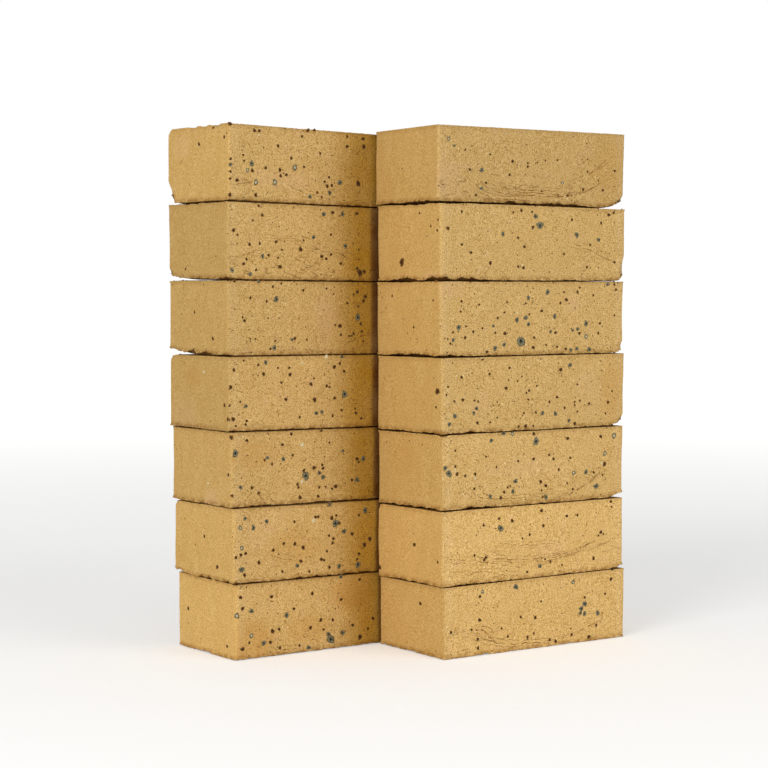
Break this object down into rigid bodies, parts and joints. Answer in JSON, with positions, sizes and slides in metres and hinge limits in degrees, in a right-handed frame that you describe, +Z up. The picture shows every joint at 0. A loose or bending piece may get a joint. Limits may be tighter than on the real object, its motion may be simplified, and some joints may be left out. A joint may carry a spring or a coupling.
{
  "type": "stack of bricks",
  "caption": "Loose stack of solid buff clay bricks in side-by-side columns that touch at a corner, ready to be laid in a wall.",
  "frame": {"origin": "on the floor, under the middle of the stack's bounding box", "axes": "+Z up; +X along the bricks to the right, seen from the front; +Y across the bricks, from the front column to the back one"},
  "size_m": [0.38, 0.2088, 0.4712],
  "materials": {
    "fired_clay": "matt, sanded"
  },
  "bodies": {
    "root": {"right_brick_1": "fired_clay", "right_brick_2": "fired_clay", "right_brick_3": "fired_clay", "right_brick_4": "fired_clay", "right_brick_5": "fired_clay", "right_brick_6": "fired_clay", "right_brick_7": "fired_clay", "left_brick_1": "fired_clay", "left_brick_2": "fired_clay", "left_brick_3": "fired_clay", "left_brick_4": "fired_clay", "left_brick_5": "fired_clay", "left_brick_6": "fired_clay", "left_brick_7": "fired_clay"}
  },
  "joints": []
}
